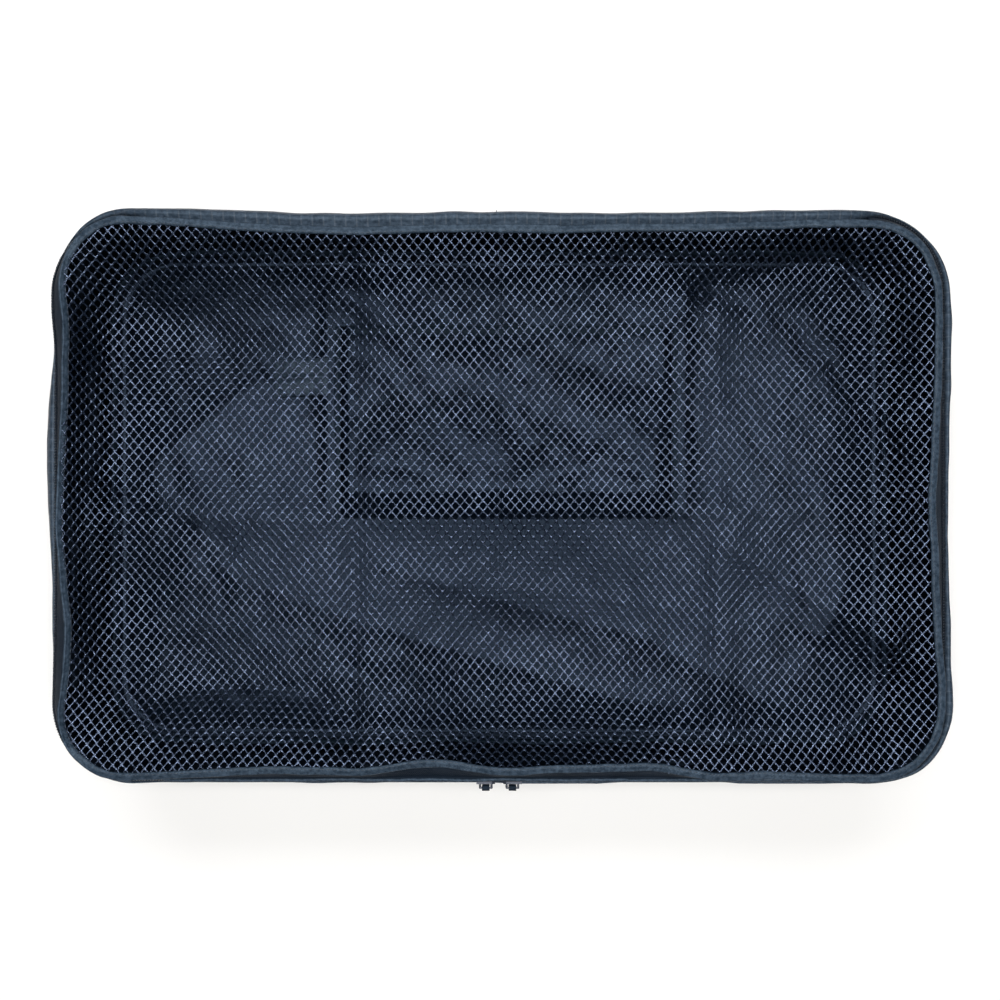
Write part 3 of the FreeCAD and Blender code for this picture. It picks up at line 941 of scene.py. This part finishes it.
def make_base(material):
    """Base cloth as rings that shrink from the seam to the middle."""
    nr, ns = 74, 520
    s = np.linspace(0, AROUND, ns, endpoint=False)
    x, y, nx, ny = rim(s)
    edge = np.stack([x - nx * SEAM_IN, y - ny * SEAM_IN], -1)
    core = np.stack([np.clip(x, -(HALF_X - HALF_Y), HALF_X - HALF_Y), 0 * y], -1)
    t = np.linspace(0, 1, nr)[None, :, None]
    plan = edge[:, None] * (1 - t) + core[:, None] * t
    z = base_height(plan[..., 0], plan[..., 1])
    grid = np.concatenate([plan, z[..., None]], -1)
    obj = grid_object("base_cloth", grid, material, wrap_u=True)
    layer = obj.data.uv_layers["cloth"]
    corner = np.zeros(len(obj.data.loops), int)
    obj.data.loops.foreach_get("vertex_index", corner)
    layer.data.foreach_set("uv", grid.reshape(-1, 3)[corner, :2].astype(np.float32).ravel())
    return thicken(obj, 0.5 * MM, -1)


def make_seam_binding(material):
    """Bound seam allowance standing inside the base seam."""
    s = np.linspace(0, AROUND, 620, endpoint=False)
    x, y, _, _ = rim(s)
    section = [(0.8, -1.6), (0.9, 0.6), (0.6, 1.7), (0.0, 2.1),
               (-0.6, 1.7), (-0.9, 0.6), (-0.8, -1.6)]
    inset = SEAM_IN + 2.2 * MM + 0.7 * MM * waves(x, y, 61, 0.04)
    obj = sweep("base_seam_cloth", s, inset, SEAM_Z + 1.6 * MM, -0.5 + 0.25 * waves(x, y, 62, 0.05),
                np.array(section) * MM, material)
    return obj


# ---------------------------------------------------------------- pouch
def pouch_height(u, v):
    """Height of the pouch cloth above the base; u across and v from its foot to its mouth."""
    sides = smooth(u / 0.020) * smooth((1 - u) / 0.020)
    foot = smooth(v / 0.16)
    crown = 1 + 0.10 * np.sin(math.pi * u)
    low, height = 0.6 * MM, 3.4 * MM * sides * foot * crown * (1 - 0.62 * smooth(v / 1.1))
    x, y = u * 0.17, v * 0.10
    line = 0.024 + 0.006 * np.sin(x * 55 + 0.4)
    ends = smooth(x / 0.02) * smooth((0.17 - x) / 0.01)
    dents = 1.6 * MM * kink(y - line, 0.030, 0.009, 1.5 * MM) * ends
    dents = dents - 0.5 * MM * crease(x, y, (0.060, 0.095), (0.098, 0.035), 0.010)
    dents = dents + 0.26 * MM * waves(x, y, 71, 0.035) + 0.08 * MM * waves(x, y, 72, 0.014)
    return low * foot + height + dents * sides * smooth(v / 0.1)


def make_pouch(material):
    nu, nv = 130, 80
    u, v = np.meshgrid(np.linspace(0, 1, nu), np.linspace(0, 1, nv), indexing="ij")
    x = POUCH_LOW[0] + u * (POUCH_HIGH[0] - POUCH_LOW[0])
    y = POUCH_LOW[1] + v * (POUCH_HIGH[1] - POUCH_LOW[1])
    rise = smooth(v / 0.12)
    z = base_height(x, y) * (1 - 0.5 * rise) + (0.3 + 0.5 * rise) * MM + pouch_height(u, v)
    obj = grid_object("pouch_cloth", np.stack([x, y, z], -1), material)
    return thicken(obj, 0.45 * MM, -1)


def make_pouch_hem(material):
    """Rolled hem along the pouch's mouth."""
    n = 90
    u = np.linspace(0.03, 0.97, n)
    x = POUCH_LOW[0] + u * (POUCH_HIGH[0] - POUCH_LOW[0])
    v = 1 - 0.03 + 0 * u
    y = POUCH_HIGH[1] - 2.6 * MM
    z = base_height(x, y + 0 * x) * 0.5 + 0.8 * MM + pouch_height(u, v) + 0.35 * MM
    section = [(-2.6, -0.2), (-2.3, 0.35), (0, 0.5), (2.4, 0.45),
               (2.9, -0.1), (2.4, -0.8), (0, -0.7), (-2.3, -0.6)]
    points = np.stack([np.stack([x, y + a * MM + 0 * x, z + b * MM], -1) for a, b in section], 1)
    return grid_object("pouch_hem_cloth", points, material, wrap_v=True)


def make_pouch_edge(name, x, material):
    """Bound edge beside the pouch, lying on the base."""
    n = 70
    y = np.linspace(POUCH_LOW[1], POUCH_HIGH[1], n)
    section = [(-1.7, 0.1), (-1.4, 0.8), (-0.5, 1.1), (0.5, 1.1),
               (1.4, 0.8), (1.7, 0.1), (1.1, -0.1), (-1.1, -0.1)]
    z = base_height(x + 0 * y, y)
    points = np.stack([np.stack([x + a * MM + 0.3 * MM * np.sin(y * 90), y, z + b * MM], -1)
                       for a, b in section], 1)
    return grid_object(name, points, material, wrap_v=True)


def make_tab(material):
    """Folded tab: two soft strips side by side with a sewn groove between them."""
    nu, nv = 40, 41
    u, v = np.meshgrid(np.linspace(0, 1, nu), np.linspace(0, 1, nv), indexing="ij")
    long, wide = TAB_HIGH[0] - TAB_LOW[0], TAB_HIGH[1] - TAB_LOW[1]
    x = TAB_LOW[0] + u * (long - 0.8 * MM)
    y = TAB_LOW[1] + v * wide + 1.5 * MM * (u - 0.5)
    groove = fold((v - 0.5) * wide, 1.0 * MM, 0.4 * MM)
    strip = 1 - np.abs(2 * np.mod(2 * v, 1) - 1) ** 4
    loose = 1 - smooth((u - 0.72) / 0.28)
    z = TAB_LOW[2] + 1.3 * MM + loose * (2.2 * MM * np.sin(math.pi * u * 0.9) + 0.8 * MM * strip)
    z = z - 0.9 * MM * groove * (0.3 + 0.7 * loose)
    obj = grid_object("pouch_tab_cloth", np.stack([x, y, z], -1), material)
    return thicken(obj, 0.8 * MM, -1)


def make_end_tab(name, nodes_name, material):
    """Small folded tab that covers the zip's end, with rounded corners and a sewn middle."""
    low, high = node(nodes_name)
    nu, nv = 30, 34
    u, v = np.meshgrid(np.linspace(-1, 1, nu), np.linspace(-1, 1, nv), indexing="ij")
    pull_in = 1 - 0.10 * np.abs(v) ** 5
    x = (low[0] + high[0]) / 2 + u * pull_in * (high[0] - low[0]) / 2
    half_tall = (high[2] - low[2]) / 2 * 0.82
    z = (low[2] + high[2]) / 2 - 1.4 * MM + v * (1 - 0.10 * np.abs(u) ** 5) * half_tall
    y = low[1] + 0.5 * MM + 0.35 * MM * np.cos(math.pi * u / 2) * np.cos(math.pi * v / 2)
    y = y - 0.25 * MM * fold(np.abs(u) * 7 * MM - 5.2 * MM, 0.8 * MM, 0.3 * MM)
    obj = grid_object(name, np.stack([x, y, z], -1), material)
    return thicken(obj, 0.9 * MM, 0)


# ---------------------------------------------------------------- pulls
def make_pull(name, nodes_name, material):
    """Narrow strap folded round the slider's bar, its two layers sewn together below."""
    low, high = node(nodes_name)
    x, bar_y, bar_z = (low[0] + high[0]) / 2, high[1] - 1.4 * MM, high[2] - 1.4 * MM
    bottom = low[2]
    gap = 0.42 * MM
    turn = [(0.75 * math.sin(a), 0.75 * math.cos(a)) for a in np.linspace(-2.3, 2.3, 15)]
    path = [(-gap, bottom - bar_z + 0.6 * MM), (-gap, -14 * MM), (-gap * 1.1, -5 * MM)]
    path += [(a * 1.45 * MM, b * 1.45 * MM) for a, b in turn]
    path += [(gap * 1.1, -5 * MM), (gap, -14 * MM), (gap, bottom - bar_z + 0.6 * MM)]
    line = spline(path, 60)
    half = (high[0] - low[0]) / 2
    across = np.linspace(-half, half, 7)
    points = np.zeros((60, 7, 3))
    for k, a in enumerate(across):
        points[:, k] = np.stack([x + a + 0 * line[:, 0], bar_y + line[:, 0], bar_z + line[:, 1]], -1)
    obj = grid_object(name, points, material)
    return thicken(obj, 0.5 * MM, 0)


# ---------------------------------------------------------------- assembly
def on(obj, body, slot, *nodes):
    """Puts a piece on a body, in place of CAD nodes."""
    if body is not None:
        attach(obj, body)
    if nodes:
        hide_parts(*nodes)
    return obj


def build():
    ripstop = cloth_material("ripstop", (0.013, 0.022, 0.035), (0.038, 0.056, 0.082))
    # Painted shade: the same ripstop coloured about ten times darker, standing in for the shade
    # inside the cube. It lines the walls and covers the base and the pouch.
    inner = cloth_material("ripstop_inner_painted_shade", (0.0012, 0.0028, 0.0060), (0.0020, 0.0045, 0.0090),
                           gloss=(0.12, 0.18), shine=0.062, tint=(0.44, 0.64, 1.0), crumple=0.09,
                           square_light=0.003)
    edge = cloth_material("binding_inside", (0.006, 0.012, 0.021), (0.010, 0.018, 0.029),
                          ripstop=False, shine=0.08)
    binding = cloth_material("binding", (0.011, 0.020, 0.033), (0.040, 0.060, 0.088),
                             ripstop=False, grain=1.0 * MM, turn=math.radians(40),
                             weave_deep=0.14 * MM)
    tape, coil = tape_material(), coil_material()
    thread, paint = thread_material(), metal_material()

    wall = make_wall(ripstop, inner)
    on(wall, None, "ripstop_cloth", "wall_front", "wall_left", "wall_right", "wall_back_left",
       "wall_back_right", "wall_corner_front_left", "wall_corner_front_right",
       "wall_corner_back_left", "wall_corner_back_right")
    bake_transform(wall)

    # Base cloth in the painted-shade copy of the ripstop, darker for the shade inside the cube.
    base = on(make_base(inner), "base", "ripstop_cloth", "base_panel")
    on(make_seam_binding(edge), "base", "binding_cloth", "base_seam_binding")

    on(make_lower_tape(tape), "base", "zip_tape", "zip_tape_lower")
    on(make_upper_tape(tape), "lid", "zip_tape", "zip_tape_upper")
    on(make_tape_fold(binding), "lid", "zip_tape")
    on(make_coil("zip_coil_lower_turns", -1, 0.0, coil), "base", "zip_coil", "zip_coil_lower")
    on(make_coil("zip_coil_upper_turns", 1, 0.8 * MM, coil), "lid", "zip_coil", "zip_coil_upper")

    net = make_net(net_material())
    for half in net:
        on(half, "lid", "net", "mesh_panel")

    on(make_binding(binding), "lid", "binding_cloth", "lid_binding")
    on(make_binding_lap(binding), "lid", "binding_cloth", "lid_binding_lap")
    on(make_stitches(thread), "lid", "binding_cloth")

    seam = make_wall_seam(wall, thread)
    on(seam, None, "binding_cloth")
    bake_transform(seam)

    # Pouch cloth in the painted-shade copy of the ripstop, darker for the shade inside the cube.
    pouch = on(make_pouch(inner), "base", "ripstop_cloth", "pouch_panel")
    on(make_pouch_hem(edge), "base", "binding_cloth", "pouch_hem")
    for side, x in (("left", POUCH_LOW[0] - 1.6 * MM), ("right", POUCH_HIGH[0] + 1.6 * MM)):
        on(make_pouch_edge("pouch_edge_" + side, x, edge), "base", "binding_cloth",
           "pouch_binding_" + side)
    on(make_tab(binding), "pouch_tab", "ripstop_cloth", "pouch_tab")

    for side in ("left", "right"):
        on(make_pull("pull_strap_" + side, "pull_" + side, tape), "pull_" + side, "pull_strap",
           "pull_" + side)
        on(make_end_tab("zip_end_cloth_" + side, "zip_end_tab_" + side, edge), "base",
           "binding_cloth", "zip_end_tab_" + side)
        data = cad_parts["slider_" + side].data
        data.materials.clear()
        data.materials.append(paint)


def make_floor():
    size = 6.0
    corners = [(-size, -size, 0), (size, -size, 0), (size, size, 0), (-size, size, 0)]
    floor = make_object("floor", corners, [(0, 1, 2, 3)], floor_material())


make_camera()
make_light()
make_floor()
build()
